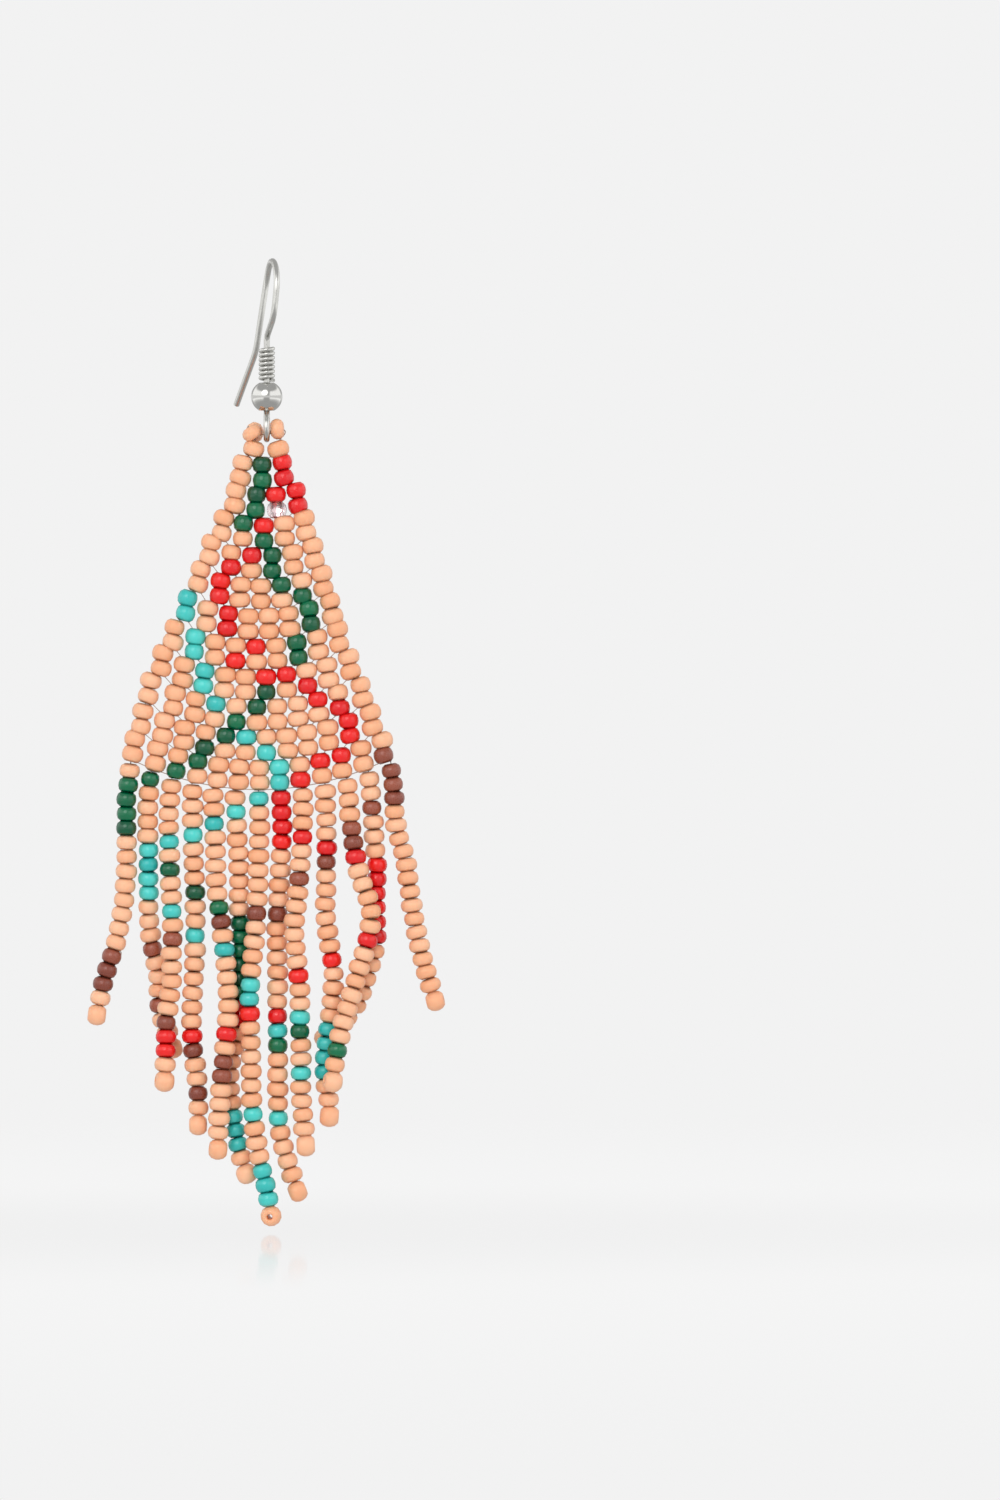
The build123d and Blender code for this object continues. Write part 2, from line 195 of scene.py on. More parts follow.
# Half of a bead's wall from its belly to its hole, as shares of its radius and of half its length. The holes
# of strung beads are hidden, and the end beads show theirs
STRUNG_WALL = [(1.0, 0.19), (0.89, 0.67), (0.58, 1.0)]
END_WALL = [(1.0, 0.2), (0.87, 0.64), (0.6, 0.95), (0.36, 0.98), (0.27, 0.8)]
BORE_SHARE = 0.3  # nearer the middle than this share of its radius, a bead's wall is inside its hole
MOST_LONGER = 0.6  # a bead's most lengthening, as a share of its most shortening

# Each colour's width and length as shares of the bead sizes
BEAD_KINDS = {
    "peach": (1.0, 1.0),
    "red": (0.97, 1.02),
    "green": (0.93, 1.04),
    "teal": (0.95, 1.02),
    "brown": (0.94, 1.02),
    "clear": (0.9, 1.02),
}
GLASS_ROUGHNESS = {"peach": 0.3, "red": 0.12, "green": 0.1, "teal": 0.14, "brown": 0.22, "clear": 0.03}

# Each steel part's colour setting, roughness and depth of scratches
STEEL_FINISHES = {
    "ear_hook": ("wire_steel", 0.24, 0.6),
    "hook_coil": ("wire_steel", 0.2, 0.3),
    "hook_ball": ("steel", 0.07, 0.1),
}

# The studio, in metres
CAMERA_PLACE = (0.0237, -1.3, -0.0505)
CAMERA_LENS = 300  # millimetres
FLOOR_HEIGHT = -0.1005
FLOOR_RADIUS = 0.9
# How far from the middle the floor and its sheen start to fade, and where they are gone
FLOOR_FADE = (0.11, 0.45)
SHEEN_FADE = (0.08, 0.18)
LAMP_TARGET = (0, 0, -0.05)
# Each lamp's place, width and power in watts
LAMPS = {
    "key_light": ((-0.14, -0.62, 0.14), 0.26, 2.2),
    "fill_light": ((0.42, -0.34, 0.06), 0.35, 0.4),
    "top_light": ((0.06, 0.12, 0.42), 0.3, 0.5),
    "back_light": ((0.12, 0.6, 0.12), 0.3, 0.8),
}


def srgb(red, green, blue):
    """A display colour out of 255 as a linear one."""
    values = [v / 255 for v in (red, green, blue)]
    return tuple(v / 12.92 if v <= 0.04045 else ((v + 0.055) / 1.055) ** 2.4 for v in values)


def colour(name, value, note):
    """A colour setting."""
    return FloatVectorProperty(
        name=name, description=note, subtype="COLOR", size=3, min=0, max=1, default=value)


def length(name, value, note):
    """A length setting, given in millimetres and kept in metres."""
    return FloatProperty(name=name, description=note, unit="LENGTH", default=value * MM, min=0, precision=5)


class BeadSizes(bpy.types.PropertyGroup):
    """Sizes of the seed beads and their thread"""

    across: length("Bead diameter", 2.22, "Across a seed bead")
    along: length("Bead length", 1.64, "Along a seed bead's hole")
    row_pitch: length("Row pitch", 1.575, "Between the two rows of a level")
    thread: length("Thread", 0.11, "Diameter of the thread")
    sides: IntProperty(name="Sides", description="Faces round a bead", default=12, min=10, max=16)
    unevenness: FloatProperty(name="Unevenness", description="How much beads differ in size", default=0.045)
    tilt: FloatProperty(
        name="Tilt", description="How far a bead leans", subtype="ANGLE", default=math.radians(5))


class BeadColours(bpy.types.PropertyGroup):
    """Colours of the glass, the steel and the thread"""

    peach: colour("Peach", srgb(233, 181, 146), "Ground colour of the beadwork")
    peach_deep: colour("Deep peach", srgb(227, 164, 124), "Darker beads of the ground colour")
    red: colour("Red", srgb(226, 28, 25), "Red stripe")
    red_deep: colour("Deep red", srgb(208, 19, 26), "Darker red beads")
    green: colour("Green", srgb(0, 105, 67), "Green stripe")
    green_deep: colour("Deep green", srgb(0, 72, 46), "Darker green beads")
    teal: colour("Teal", srgb(72, 196, 188), "Turquoise stripe")
    teal_deep: colour("Deep teal", srgb(40, 168, 164), "Darker turquoise beads")
    brown: colour("Brown", srgb(149, 79, 59), "Brown beads")
    brown_deep: colour("Deep brown", srgb(120, 58, 44), "Darker brown beads")
    clear: colour("Clear", srgb(255, 244, 245), "Clear pink bead")
    clear_deep: colour("Deep clear", srgb(253, 232, 236), "Darker clear pink")
    steel: colour("Steel", srgb(212, 212, 209), "Polished ball")
    wire_steel: colour("Wire steel", srgb(214, 214, 210), "Ear wire and coil")
    thread: colour("Thread", srgb(180, 158, 144), "Beading thread")
    backdrop: colour("Backdrop", srgb(242, 242, 242), "Background and floor")


def sizes():
    """The settings of the beads' and the thread's sizes."""
    return bpy.context.scene.bead_sizes


def shades():
    """The settings of the colours."""
    return bpy.context.scene.bead_colours


# Node helpers

def new_material(name):
    """A material with nothing but its Principled shader and output."""
    material = bpy.data.materials.new(name)
    material.use_nodes = True
    return material, material.node_tree.nodes["Principled BSDF"]


def add_node(tree, kind, **values):
    """A node with its named properties set and its numbered or named inputs filled."""
    node = tree.nodes.new(kind)
    inputs = values.pop("inputs", {})
    for key, value in values.items():
        setattr(node, key, value)
    for key, value in inputs.items():
        if isinstance(value, bpy.types.NodeSocket):
            tree.links.new(value, node.inputs[key])
        else:
            node.inputs[key].default_value = value
    return node


def maths(tree, operation, *values, clamp=False):
    """The result of a maths node with these values or sockets as its inputs."""
    node = add_node(tree, "ShaderNodeMath", operation=operation, use_clamp=clamp,
                    inputs=dict(enumerate(values)))
    return node.outputs[0]


def noise(tree, where, scale, detail):
    """The value of a noise pattern at this place."""
    node = add_node(tree, "ShaderNodeTexNoise", inputs={"Vector": where, "Scale": scale, "Detail": detail})
    return node.outputs["Fac"]


def blend(tree, share, first, second, kind="MIX"):
    """The first colour blended with this share of the second."""
    node = add_node(tree, "ShaderNodeMix", data_type="RGBA", blend_type=kind,
                    inputs={"Factor": share, 6: first, 7: second})
    return node.outputs[2]


def blend_values(tree, share, first, second):
    """The first value blended with this share of the second."""
    node = add_node(tree, "ShaderNodeMix", data_type="FLOAT", inputs={0: share, 2: first, 3: second})
    return node.outputs[0]


def fade(tree, value, start, stop, at_start=0.0, at_stop=1.0):
    """A smooth change from one value to another, while the given value goes from start to stop."""
    node = add_node(tree, "ShaderNodeMapRange", interpolation_type="SMOOTHSTEP", inputs={
        "Value": value, "From Min": start, "From Max": stop, "To Min": at_start, "To Max": at_stop})
    return node.outputs["Result"]


def new_group(name, inputs, outputs):
    """An empty node group with its sockets, and its input and output nodes."""
    group = bpy.data.node_groups.new(name, "ShaderNodeTree")
    for side, sockets in (("INPUT", inputs), ("OUTPUT", outputs)):
        for socket, kind in sockets.items():
            group.interface.new_socket(socket, in_out=side, socket_type=f"NodeSocket{kind}")
    return group, group.nodes.new("NodeGroupInput"), group.nodes.new("NodeGroupOutput")


def glaze_group():
    """Uneven colour, gloss and surface of pressed glass beads, with painted shade inside the bore."""
    group, given, made = new_group(
        "bead_glaze",
        {"Vector": "Vector", "Base": "Color", "Deep": "Color", "Tint": "Float", "Bore": "Float",
         "Roughness": "Float"},
        {"Color": "Color", "Roughness": "Float", "Height": "Float"})
    get = given.outputs
    clouding = 0.7
    grain_dulling = 0.12
    grain_height = 0.25
    # A warm, darker colour multiplied into the wall inside a bead's hole as painted shade
    painted_shade_colour = (0.92, 0.74, 0.6, 1.0)
    cloud = noise(group, get["Vector"], scale=900.0, detail=3.0)
    grain = noise(group, get["Vector"], scale=5200.0, detail=2.0)
    spread = maths(group, "MULTIPLY_ADD", cloud, clouding, -clouding / 2)
    deepness = maths(group, "ADD", get["Tint"], spread, clamp=True)
    body = blend(group, deepness, get["Base"], get["Deep"])
    # Painted shade: the body is multiplied by that colour where the Bore mask marks the hole
    body_with_painted_shade = blend(group, get["Bore"], body, painted_shade_colour, "MULTIPLY")
    gloss = maths(group, "MULTIPLY_ADD", grain, grain_dulling, get["Roughness"], clamp=True)
    relief = maths(group, "MULTIPLY_ADD", grain, grain_height, cloud)
    group.links.new(body_with_painted_shade, made.inputs["Color"])
    group.links.new(gloss, made.inputs["Roughness"])
    group.links.new(relief, made.inputs["Height"])
    return group


def metal_group():
    """Drawn and polished steel: fine scratches, cloudy wear and slight tarnish in clouds."""
    group, given, made = new_group(
        "steel_wear",
        {"Vector": "Vector", "Base": "Color", "Roughness": "Float", "Scratch": "Float"},
        {"Color": "Color", "Roughness": "Float", "Height": "Float"})
    get = given.outputs
    tarnish = (0.86, 0.85, 0.84, 1.0)
    wear_dulling = 0.1
    cloud = noise(group, get["Vector"], scale=420.0, detail=4.0)
    longways = add_node(group, "ShaderNodeMapping",
                        inputs={"Vector": get["Vector"], "Scale": (1.0, 1.0, 0.06)})
    scratches = noise(group, longways.outputs[0], scale=9000.0, detail=2.0)
    dull = blend(group, cloud, get["Base"], tarnish, "MULTIPLY")
    worn = maths(group, "MULTIPLY_ADD", cloud, wear_dulling, get["Roughness"])
    height = maths(group, "MULTIPLY", scratches, get["Scratch"])
    group.links.new(dull, made.inputs["Color"])
    group.links.new(worn, made.inputs["Roughness"])
    group.links.new(height, made.inputs["Height"])
    return group


def group_once(name, maker):
    """A node group, made the first time it is asked for."""
    return bpy.data.node_groups.get(name) or maker()


def add_bump(tree, shader, height, strength, distance):
    """A bump from this height to the shader's normal."""
    bump = add_node(tree, "ShaderNodeBump",
                    inputs={"Height": height, "Strength": strength, "Distance": distance})
    tree.links.new(bump.outputs[0], shader.inputs["Normal"])


def bead_material(name):
    """The glass of one bead colour, made once."""
    known = bpy.data.materials.get(f"bead_{name}")
    if known:
        return known
    material, shader = new_material(f"bead_{name}")
    tree = material.node_tree
    where = add_node(tree, "ShaderNodeTexCoord")
    tint = add_node(tree, "ShaderNodeAttribute", attribute_name="tint")
    bore = add_node(tree, "ShaderNodeAttribute", attribute_name="bore")
    glaze = add_node(tree, "ShaderNodeGroup", node_tree=group_once("bead_glaze", glaze_group), inputs={
        "Vector": where.outputs["Object"],
        "Base": (*getattr(shades(), name), 1.0),
        "Deep": (*getattr(shades(), f"{name}_deep"), 1.0),
        "Tint": tint.outputs["Fac"],
        "Bore": bore.outputs["Fac"],
        "Roughness": GLASS_ROUGHNESS[name],
    })
    tree.links.new(glaze.outputs["Color"], shader.inputs["Base Color"])
    tree.links.new(glaze.outputs["Roughness"], shader.inputs["Roughness"])
    add_bump(tree, shader, glaze.outputs["Height"], strength=0.25, distance=0.03 * MM)
    shader.inputs["IOR"].default_value = 1.52
    if name == "peach":
        shader.inputs["Subsurface Weight"].default_value = 0.3
        shader.inputs["Subsurface Radius"].default_value = (1.0, 0.6, 0.4)
        shader.inputs["Subsurface Scale"].default_value = 0.5 * MM
    elif name == "clear":
        shader.inputs["IOR"].default_value = 1.3
        shader.inputs["Transmission Weight"].default_value = 0.9
    else:
        shader.inputs["Coat Weight"].default_value = 0.1
        shader.inputs["Coat Roughness"].default_value = 0.05
    return material


def steel_material(name, base, rough, scratch):
    """One finish of the ear wire's steel."""
    material, shader = new_material(name)
    tree = material.node_tree
    where = add_node(tree, "ShaderNodeTexCoord")
    wear = add_node(tree, "ShaderNodeGroup", node_tree=group_once("steel_wear", metal_group), inputs={
        "Vector": where.outputs["Object"],
        "Base": (*base, 1.0),
        "Roughness": rough,
        "Scratch": scratch,
    })
    tree.links.new(wear.outputs["Color"], shader.inputs["Base Color"])
    tree.links.new(wear.outputs["Roughness"], shader.inputs["Roughness"])
    add_bump(tree, shader, wear.outputs["Height"], strength=0.1, distance=0.002 * MM)
    shader.inputs["Metallic"].default_value = 1.0
    return material


def thread_material():
    """Waxed beading thread with its fine twist, made once."""
    known = bpy.data.materials.get("beading_thread")
    if known:
        return known
    material, shader = new_material("beading_thread")
    tree = material.node_tree
    where = add_node(tree, "ShaderNodeTexCoord")
    place = where.outputs["Object"]
    twist = add_node(tree, "ShaderNodeTexWave", bands_direction="DIAGONAL",
                     inputs={"Vector": place, "Scale": 5200.0, "Distortion": 1.5})
    fibre = noise(tree, place, scale=9000.0, detail=3.0)
    shadow = 0.6
    least_roughness = 0.45
    fibre_dulling = 0.2
    dark = [v * shadow for v in shades().thread]
    body = blend(tree, fibre, (*shades().thread, 1.0), (*dark, 1.0))
    rough = maths(tree, "MULTIPLY_ADD", fibre, fibre_dulling, least_roughness)
    tree.links.new(body, shader.inputs["Base Color"])
    tree.links.new(rough, shader.inputs["Roughness"])
    add_bump(tree, shader, twist.outputs["Fac"], strength=0.4, distance=0.02 * MM)
    return material


# Shapes

def model_bead(half_wall):
    """One upright seed bead: a ring drawn up along the outline of its wall and closed down its hole."""
    size = sizes()
    wall = [(out * size.across / 2, up * size.along / 2) for out, up in half_wall]
    outline = [(out, -up) for out, up in reversed(wall)] + wall
    radius, height = outline[0]
    bpy.ops.object.select_all(action="DESELECT")
    bpy.ops.mesh.primitive_circle_add(vertices=size.sides, radius=radius, location=(0, 0, height))
    bpy.ops.object.transform_apply(location=True, rotation=False, scale=False)
    bead = bpy.context.object
    bpy.ops.object.mode_set(mode="EDIT")
    bpy.ops.mesh.select_all(action="SELECT")
    for wide, tall in outline[1:]:
        bpy.ops.mesh.extrude_region_move(TRANSFORM_OT_translate={"value": (0, 0, tall - height)})
        share = wide / radius
        bpy.ops.transform.resize(value=(share, share, 1), center_override=(0, 0, 0))
        radius, height = wide, tall
    bpy.ops.mesh.select_all(action="SELECT")
    bpy.ops.mesh.region_to_loop()
    bpy.ops.mesh.bridge_edge_loops()
    bpy.ops.mesh.select_all(action="SELECT")
    bpy.ops.mesh.normals_make_consistent(inside=False)
    bpy.ops.object.mode_set(mode="OBJECT")
    inside = size.across / 2 * BORE_SHARE
    model = {
        "verts": [v.co.copy() for v in bead.data.vertices],
        "faces": [tuple(p.vertices) for p in bead.data.polygons],
        "bores": [float(math.hypot(v.co.x, v.co.y) < inside) for v in bead.data.vertices],
    }
    bpy.data.objects.remove(bead)
    return model


def bead_place(middle, axis, chance, stretch=1.0):
    """The matrix of a bead with its hole along axis, a little off true as glass seed beads are."""
    size = sizes()
    lean = Vector((chance.uniform(-1, 1), chance.uniform(-1, 1), chance.uniform(-1, 1))) * math.tan(size.tilt)
    turn = (Vector(axis).normalized() + lean).to_track_quat("Z", "Y").to_matrix().to_4x4()
    spin = Matrix.Rotation(chance.uniform(0, math.tau), 4, "Z")
    across = 1 + chance.uniform(-1, 1) * size.unevenness
    along = stretch * (1 + chance.uniform(-1, MOST_LONGER) * size.unevenness)
    return Matrix.Translation(middle) @ turn @ spin @ Matrix.Diagonal((across, across, along, 1))


def string_up(name, beads, chance, open_ends=0):
    """One mesh of many beads. Each is (colour, matrix), and this many of the last ones show their holes."""
    strung, end = model_bead(STRUNG_WALL), model_bead(END_WALL)
    used = [shade for shade in BEAD_KINDS if any(shade == bead[0] for bead in beads)]
    verts, faces, slots, tints, bores = [], [], [], [], []
    for index, (shade, place) in enumerate(beads):
        model = strung if index < len(beads) - open_ends else end
        wide, tall = BEAD_KINDS[shade]
        start = len(verts)
        verts += [place @ Vector((v.x * wide, v.y * wide, v.z * tall)) for v in model["verts"]]
        faces += [[start + i for i in face] for face in model["faces"]]
        slots += [used.index(shade)] * len(model["faces"])
        tints += [chance.random()] * len(model["verts"])
        bores += model["bores"]
    mesh = bpy.data.meshes.new(name)
    mesh.from_pydata(verts, [], faces)
    for shade in used:
        mesh.materials.append(bead_material(shade))
    mesh.polygons.foreach_set("material_index", slots)
    mesh.polygons.foreach_set("use_smooth", [True] * len(faces))
    for attribute, values in (("tint", tints), ("bore", bores)):
        mesh.attributes.new(attribute, "FLOAT", "POINT").data.foreach_set("value", values)
    mesh.update()
    piece = bpy.data.objects.new(name, mesh)
    bpy.context.scene.collection.objects.link(piece)
    return piece


def add_spline(curve, points, kind="NURBS"):
    """A spline with these points, in metres. A NURBS one is smooth and ends at its end points."""
    spline = curve.splines.new(kind)
    spline.points.add(len(points) - 1)
    for point, place in zip(spline.points, points):
        point.co = (*place, 1)
    if kind == "NURBS":
        spline.order_u = 3
        spline.use_endpoint_u = True


def line_of(points):
    """The points of the smooth line that has these as its control points."""
    curve = bpy.data.curves.new("string_line", "CURVE")
    curve.dimensions = "3D"
    curve.resolution_u = 16
    add_spline(curve, points)
    guide = bpy.data.objects.new("string_line", curve)
    bpy.context.scene.collection.objects.link(guide)
    mesh = bpy.data.meshes.new_from_object(guide)
    line = [v.co.copy() for v in mesh.vertices]
    bpy.data.meshes.remove(mesh)
    bpy.data.objects.remove(guide)
    return line


def walk(line, distance):
    """The place and direction at this distance along a line, going straight on past its end."""
    for here, there in zip(line, line[1:]):
        step = (there - here).length
        if distance <= step or there is line[-1]:
            direction = (there - here).normalized()
            return here + direction * distance, direction
        distance -= step


def thread_piece(name, routes, kind="NURBS"):
    """Threads along these routes as one mesh."""
    curve = bpy.data.curves.new(name, "CURVE")
    curve.dimensions = "3D"
    curve.resolution_u = 4
    curve.bevel_depth = sizes().thread / 2
    curve.bevel_resolution = 1
    curve.use_fill_caps = True
    for route in routes:
        add_spline(curve, route, kind)
    guide = bpy.data.objects.new(name + "_line", curve)
    bpy.context.scene.collection.objects.link(guide)
    mesh = bpy.data.meshes.new_from_object(guide)
    mesh.name = name
    bpy.data.objects.remove(guide)
    mesh.materials.clear()
    mesh.materials.append(thread_material())
    mesh.polygons.foreach_set("use_smooth", [True] * len(mesh.polygons))
    piece = bpy.data.objects.new(name, mesh)
    bpy.context.scene.collection.objects.link(piece)
    return piece


# Places in the panel, in millimetres

def column_x(level, column):
    """The middle of a column, counted from 0 at the left."""
    pitch = TOP_PITCH if level == 1 else COLUMN_PITCH
    return SEAT[0] + LEVEL_SHIFTS[level - 1] * COLUMN_PITCH + (column - level / 2) * pitch


def column_top(level, column):
    """A column's top. The rows sag between their ends, more with each level."""
    drop = 0 if level == 1 else FIRST_LEVEL_PITCH + (level - 2) * LEVEL_PITCH
    return PANEL_TOP - drop + BOTTOM_SAG * (level - 1) / (LEVELS - 1) * outward(level, column) ** 2


def outward(level, column):
    """How far a column is from the middle: -1 at the left edge and 1 at the right."""
    return (2 * column - level) / level


def row_middle(level, column, row):
    """The middle of a bead, and the way its hole points."""
    lean = EDGE_LEAN * outward(level, column)
    hole_lean = -2 * lean * abs(outward(level, column))
    down = sizes().along / MM / 2 + row * sizes().row_pitch / MM
    side = lean * (row - 0.5) * sizes().row_pitch / MM
    place = Vector((column_x(level, column) + side, SEAT[1], column_top(level, column) - down))
    strays = LEFT_STRAYS if column == 0 else RIGHT_STRAYS if column == level else {}
    stray_side, stray_up = strays.get(level, (0.0, 0.0))
    return place + Vector((stray_side, 0, stray_up)), Vector((hole_lean, 0, 1))


def string_top(column):
    """Where a string of the fringe begins, under its column."""
    bottom = column_top(LEVELS, column) - SOLID_ROW_PITCH - SOLID_BEAD_LENGTH
    return Vector((column_x(LEVELS, column), SEAT[1], bottom - STRAND_GAP))


class EARRING_OT_woven_panel(bpy.types.Operator):
    """String the beads of the woven triangle"""

    bl_idname = "earring.woven_panel"
    bl_label = "Woven panel"

    def execute(self, context):
        chance = random.Random(PANEL_SEED)
        striped = {
            place: shade for shade, stripes in PANEL_STRIPES.items() for stripe in stripes
            for place in stripe.split()}
        beads = []
        for level in range(1, LEVELS + 1):
            for row in range(1 if level == 1 else 2):
                for column in range(level + 1):
                    place, axis = row_middle(level, column, row)
                    place += Vector([chance.uniform(-most, most) for most in PANEL_PLAY])
                    shade = striped.get(f"{level}{'ab'[row]}{column + 1}", "peach")
                    beads.append((shade, bead_place(place * MM, axis, chance)))
        piece = string_up("panel_beads", beads, chance)
        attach(piece, BODY)
        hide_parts("woven_panel")
        return {"FINISHED"}


class EARRING_OT_panel_thread(bpy.types.Operator):
    """Lay the thread between the levels of the panel and under its last one"""

    bl_idname = "earring.panel_thread"
    bl_label = "Panel thread"

    def execute(self, context):
        chance = random.Random(PANEL_THREAD_SEED)
        routes = [self.between_levels(level, chance) for level in range(1, LEVELS)]
        last_row = []
        for column in range(LEVELS + 1):
            place = string_top(column) + Vector((0, chance.uniform(*LAST_ROW_DEPTHS), LAST_ROW_RISE))
            last_row.append(place * MM)
        routes.append(last_row)
        piece = thread_piece("panel_thread", routes, "POLY")
        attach(piece, BODY)
        return {"FINISHED"}

    def between_levels(self, level, chance):
        """The thread's zigzag between the holes of a level's last row and those of the next level's first."""
        row = 0 if level == 1 else 1
        route = []
        for column in range(level + 2):
            below = row_middle(level + 1, column, 0)[0]
            below += Vector((0, chance.uniform(-THREAD_PLAY, THREAD_PLAY), HOLE_DEPTH))
            route.append(below * MM)
            if column <= level:
                above = row_middle(level, column, row)[0]
                above += Vector((0, chance.uniform(-THREAD_PLAY, THREAD_PLAY), -HOLE_DEPTH))
                route.append(above * MM)
        return route


class EARRING_OT_fringe(bpy.types.Operator):
    """String the thirteen strings of the fringe"""

    bl_idname = "earring.fringe"
    bl_label = "Fringe"

    def execute(self, context):
        chance = random.Random(FRINGE_SEED)
        threads = [self.add_string(number, *plan, chance) for number, plan in FRINGE.items()]
        threads.append([(Vector(STRAY_END) + Vector(step)) * MM for step in STRAY_STEPS])
        piece = thread_piece("fringe_threads", threads)
        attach(piece, BODY)
        return {"FINISHED"}

    def add_string(self, number, order, facing, route, chance):
        """Beads spaced evenly down one string's route. Gives back the route of its thread."""
        size = sizes()
        shades_down = []
        for run in order.split(", "):
            shade, count = run.split()
            shades_down += [shade] * int(count)
        top = string_top(int(number) - 1)
        points = [(top + Vector((side, back, -down))) * MM for side, back, down in route]
        line = line_of(points)
        reach = sum((there - here).length for here, there in zip(line, line[1:]))
        last = len(shades_down) - 1
        pitch = (reach - size.across) / last
        beads = []
        for index, shade in enumerate(shades_down[:-1]):
            place, down = self.loosely_along(line, size.along / 2 + index * pitch, chance)
            beads.append((shade, bead_place(place, down, chance, pitch / size.along)))
        end_distance = size.along / 2 + last * pitch + (size.across - size.along) / 2
        place, down = self.loosely_along(line, end_distance, chance)
        hole = self.end_hole(down, facing)
        beads.append((shades_down[-1], bead_place(place, hole, chance, END_STRETCH)))
        piece = string_up(f"fringe_beads_{number}", beads, chance, open_ends=1)
        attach(piece, BODY)
        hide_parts(f"fringe_strand_{number}")
        above_end = walk(line, last * pitch)[0]
        upper = [p for p in points if p.z > above_end.z + size.along]
        rim = place - down * size.across * TURN_RISE
        behind = hole if hole.y > 0 else -hole
        turn = [rim + behind * size.along * depth for depth in TURN_DEPTHS]
        return [points[0] + Vector((0, 0, size.along / 2))] + upper + [above_end] + turn

    def loosely_along(self, line, distance, chance):
        """The place of a bead a little off the line, and the line's direction there."""
        place, down = walk(line, distance)
        place += Vector((chance.uniform(-1, 1), chance.uniform(-1, 1), 0)) * STRING_PLAY * MM
        return place, down

    def end_hole(self, down, facing):
        """The way an end bead's hole points, square to its string and turned from the viewer."""
        side = down.cross(Vector((0, 1, 0))).normalized()
        front = side.cross(down).normalized()
        angle = math.radians(facing)
        return front * math.cos(angle) + side * math.sin(angle)


class EARRING_OT_hanging_loop(bpy.types.Operator):
    """String the three beads that hang from the eye, and finish their thread"""

    bl_idname = "earring.hanging_loop"
    bl_label = "Hanging loop"

    def execute(self, context):
        chance = random.Random(LOOP_SEED)
        beads = [
            ("peach", bead_place((Vector(SEAT) + Vector(place)) * MM, axis, chance, LOOP_STRETCH))
            for place, axis in LOOP_BEADS]
        piece = string_up("hanging_beads", beads, chance, open_ends=len(beads))
        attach(piece, BODY)
        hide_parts("loop_beads")
        self.add_thread()
        return {"FINISHED"}

    def add_thread(self):
        """The thread close round the beads, through the eye and into the panel at both sides."""
        reach = sizes().along / MM / 2
        ends = []
        for place, axis in LOOP_BEADS:
            half = Vector(axis).normalized() * reach
            ends.append((Vector(place) - half, Vector(place) + half))
        (in_1, out_1), (in_2, out_2), (in_3, out_3) = ends
        deep = PANEL_TOP - SEAT[2] - LOOP_DEPTH
        left = column_x(1, 0) - SEAT[0]
        right = column_x(1, 1) - SEAT[0]
        behind = Vector((0, 0.5, 0))
        # Up at the left, round the beads, through the eye and down at the right
        route = [
            (left, 0, deep), (left, 0, deep + 0.5),
            in_1, out_1, out_1 + behind,
            in_2 + Vector((-0.2, -0.3, 0.2)), in_2, out_2,
            (-EYE_REACH, 0, 0), (EYE_REACH, 0, 0),
            in_3, out_3, out_3 + behind * 0.6 + Vector((0.05, 0, -0.5)),
            (right, 0.1, deep + 0.7), (right, 0, deep)]
        piece = thread_piece("hanging_thread", [[(Vector(SEAT) + Vector(p)) * MM for p in route]])
        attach(piece, BODY)
        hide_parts("loop_thread")


class EARRING_OT_ear_wire(bpy.types.Operator):
    """Finish the ear wire, its coil and its ball in polished steel"""

    bl_idname = "earring.ear_wire"
    bl_label = "Ear wire"

    def execute(self, context):
        for node, (shade, rough, scratch) in STEEL_FINISHES.items():
            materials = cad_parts[node].data.materials
            materials.clear()
            materials.append(steel_material(f"{node}_steel", getattr(shades(), shade), rough, scratch))
        return {"FINISHED"}


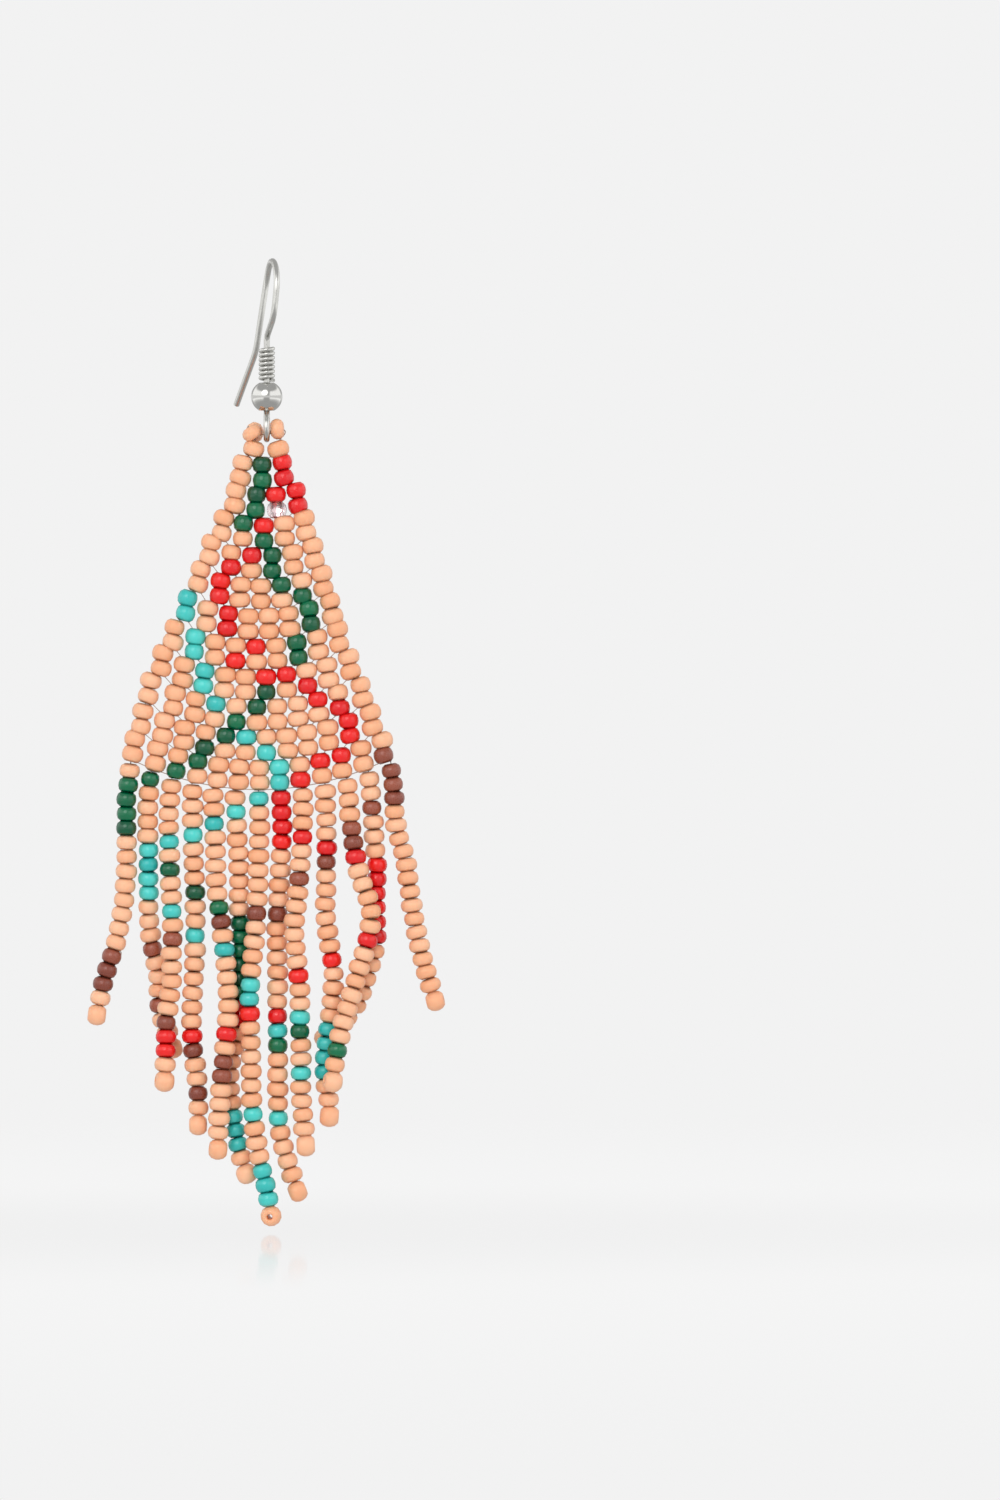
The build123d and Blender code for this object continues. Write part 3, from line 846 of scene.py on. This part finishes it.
class EARRING_OT_studio(bpy.types.Operator):
    """Set the floor, the lights, the surroundings and the camera"""

    bl_idname = "earring.studio"
    bl_label = "Studio"

    def execute(self, context):
        scene = context.scene
        pale = (*shades().backdrop, 1.0)
        self.add_floor(pale)
        self.add_lights(scene)
        self.add_world(scene, pale)
        camera = bpy.data.cameras.new("studio_camera")
        camera.lens = CAMERA_LENS
        camera.sensor_width = 36
        camera.clip_end = 20
        stand = bpy.data.objects.new("studio_camera", camera)
        stand.location = CAMERA_PLACE
        stand.rotation_euler = (math.pi / 2, 0, 0)
        scene.collection.objects.link(stand)
        scene.camera = stand
        scene.view_settings.view_transform = "Standard"
        return {"FINISHED"}

    def add_floor(self, pale):
        """A pale disc that fades out into the backdrop's colour, with a soft sheen close to the earring."""
        bpy.ops.object.select_all(action="DESELECT")
        bpy.ops.mesh.primitive_circle_add(
            vertices=64, radius=FLOOR_RADIUS, fill_type="NGON", location=(0, 0, FLOOR_HEIGHT))
        floor = bpy.context.object
        floor.name = "studio_floor"
        bpy.ops.object.transform_apply(location=True, rotation=False, scale=False)
        material, shader = new_material("pale_floor")
        tree = material.node_tree
        where = add_node(tree, "ShaderNodeTexCoord")
        distance = add_node(tree, "ShaderNodeVectorMath", operation="LENGTH",
                            inputs={0: where.outputs["Object"]})
        away = distance.outputs["Value"]
        tree.links.new(fade(tree, away, *FLOOR_FADE, 1.0, 0.0), shader.inputs["Alpha"])
        shader.inputs["Roughness"].default_value = 0.6
        shader.inputs["Base Color"].default_value = (0.02, 0.02, 0.02, 1.0)
        shader.inputs["Specular IOR Level"].default_value = 0.0
        shader.inputs["Emission Color"].default_value = pale
        most_sheen = 0.46
        sheen = add_node(tree, "ShaderNodeBsdfAnisotropic", inputs={"Roughness": 0.06})
        angle = add_node(tree, "ShaderNodeFresnel", inputs={"IOR": 1.2})
        share = maths(tree, "MULTIPLY", fade(tree, away, *SHEEN_FADE, most_sheen, 0.0), angle.outputs["Fac"])
        mix = add_node(tree, "ShaderNodeMixShader",
                       inputs={0: share, 1: shader.outputs[0], 2: sheen.outputs[0]})
        tree.links.new(mix.outputs[0], tree.nodes["Material Output"].inputs["Surface"])
        # The glow makes up for what the sheen takes away, and is weaker where steel and glass reflect it
        gain_under_sheen = 0.12
        gain_in_gloss = -0.48
        path = add_node(tree, "ShaderNodeLightPath")
        even = maths(tree, "MULTIPLY_ADD", share, gain_under_sheen, 1.0)
        glow = maths(tree, "MULTIPLY_ADD", path.outputs["Is Glossy Ray"], gain_in_gloss, even)
        tree.links.new(glow, shader.inputs["Emission Strength"])
        floor.data.materials.append(material)

    def add_lights(self, scene):
        """A soft key from the upper left, a weaker fill, a top light and one behind."""
        for name, (place, width, power) in LAMPS.items():
            lamp = bpy.data.lights.new(name, "AREA")
            lamp.shape = "SQUARE"
            lamp.size = width
            lamp.energy = power
            stand = bpy.data.objects.new(name, lamp)
            stand.location = place
            stand.rotation_euler = (Vector(place) - Vector(LAMP_TARGET)).to_track_quat("Z", "Y").to_euler()
            stand.visible_glossy = False
            scene.collection.objects.link(stand)

    def add_world(self, scene, pale):
        """The backdrop's colour for the camera, and a softly graded room for light and reflections."""
        world = bpy.data.worlds.new("studio_room")
        world.use_nodes = True
        scene.world = world
        tree = world.node_tree
        room = tree.nodes["Background"]
        room.inputs["Color"].default_value = (1.0, 1.0, 1.0, 1.0)
        where = add_node(tree, "ShaderNodeTexCoord")
        split = add_node(tree, "ShaderNodeSeparateXYZ", inputs={0: where.outputs["Generated"]})
        light_below = 0.6
        light_above = 0.78
        soft = add_node(tree, "ShaderNodeMapRange", inputs={
            "Value": split.outputs["Z"], "From Min": -1.0, "From Max": 1.0,
            "To Min": light_below, "To Max": light_above})
        path = add_node(tree, "ShaderNodeLightPath")
        reflected = self.add_reflections(tree, where.outputs["Generated"], split.outputs)
        bright = blend_values(tree, path.outputs["Is Glossy Ray"], soft.outputs["Result"], reflected)
        tree.links.new(bright, room.inputs["Strength"])
        seen = add_node(tree, "ShaderNodeBackground", inputs={"Color": pale, "Strength": 1.0})
        plain = maths(tree, "MAXIMUM", path.outputs["Is Camera Ray"], path.outputs["Is Transmission Ray"])
        mix = add_node(tree, "ShaderNodeMixShader", inputs={0: plain, 1: room.outputs[0], 2: seen.outputs[0]})
        tree.links.new(mix.outputs[0], tree.nodes["World Output"].inputs["Surface"])

    def add_reflections(self, tree, direction, parts):
        """What polish reflects: a dim room with bright screens and a lamp, and the backdrop around it."""
        screen_light = 0.85
        room_light = 0.52
        lamp_light = 2.8
        backdrop_light = 0.89
        sideways = maths(tree, "ABSOLUTE", parts["X"])
        height = maths(tree, "ABSOLUTE", parts["Z"])
        # The screens stand well out to the sides, neither high nor low, and end behind
        screens = screen_light
        for edge in (
                fade(tree, sideways, 0.25, 0.5),
                fade(tree, height, 0.5, 0.7, 1.0, 0.0),
                fade(tree, parts["Y"], 0.5, 0.75, 1.0, 0.0)):
            screens = maths(tree, "MULTIPLY", screens, edge)
        # The lamp fades between these cosines from its middle
        lamp_way = Vector((-0.22, -0.85, 0.48)).normalized()
        towards = add_node(tree, "ShaderNodeVectorMath", operation="DOT_PRODUCT",
                           inputs={0: direction, 1: lamp_way})
        front = fade(tree, towards.outputs["Value"], 0.9, 0.99, room_light, lamp_light)
        indoors = maths(tree, "ADD", screens, front)
        # The backdrop shows straight behind, and in a low band all round
        far = fade(tree, parts["Y"], 0.965, 0.98)
        low = fade(tree, height, 0.09, 0.15, 1.0, 0.0)
        behind = maths(tree, "MAXIMUM", far, low)
        return blend_values(tree, behind, indoors, backdrop_light)


class EARRING_PT_panel(bpy.types.Panel):
    """Sizes, colours and steps of the earring"""

    bl_label = "Beaded fringe earring"
    bl_space_type = "VIEW_3D"
    bl_region_type = "UI"
    bl_category = "Earring"

    def draw(self, context):
        layout = self.layout
        for group in (context.scene.bead_sizes, context.scene.bead_colours):
            box = layout.box()
            for name in group.bl_rna.properties.keys():
                if name not in ("rna_type", "name"):
                    box.prop(group, name)
        for operator in OPERATORS:
            layout.operator(operator.bl_idname)


OPERATORS = (
    EARRING_OT_studio,
    EARRING_OT_ear_wire,
    EARRING_OT_hanging_loop,
    EARRING_OT_woven_panel,
    EARRING_OT_panel_thread,
    EARRING_OT_fringe,
)
CLASSES = (BeadSizes, BeadColours, *OPERATORS, EARRING_PT_panel)


def register():
    """Adds the classes and the scene's settings."""
    for cls in CLASSES:
        bpy.utils.register_class(cls)
    bpy.types.Scene.bead_sizes = PointerProperty(type=BeadSizes)
    bpy.types.Scene.bead_colours = PointerProperty(type=BeadColours)


def unregister():
    """Removes the scene's settings and the classes."""
    del bpy.types.Scene.bead_colours
    del bpy.types.Scene.bead_sizes
    for cls in reversed(CLASSES):
        bpy.utils.unregister_class(cls)


def main():
    """Makes every piece."""
    register()
    bpy.ops.earring.studio()
    bpy.ops.earring.ear_wire()
    bpy.ops.earring.hanging_loop()
    bpy.ops.earring.woven_panel()
    bpy.ops.earring.panel_thread()
    bpy.ops.earring.fringe()


if __name__ == "__main__":
    main()
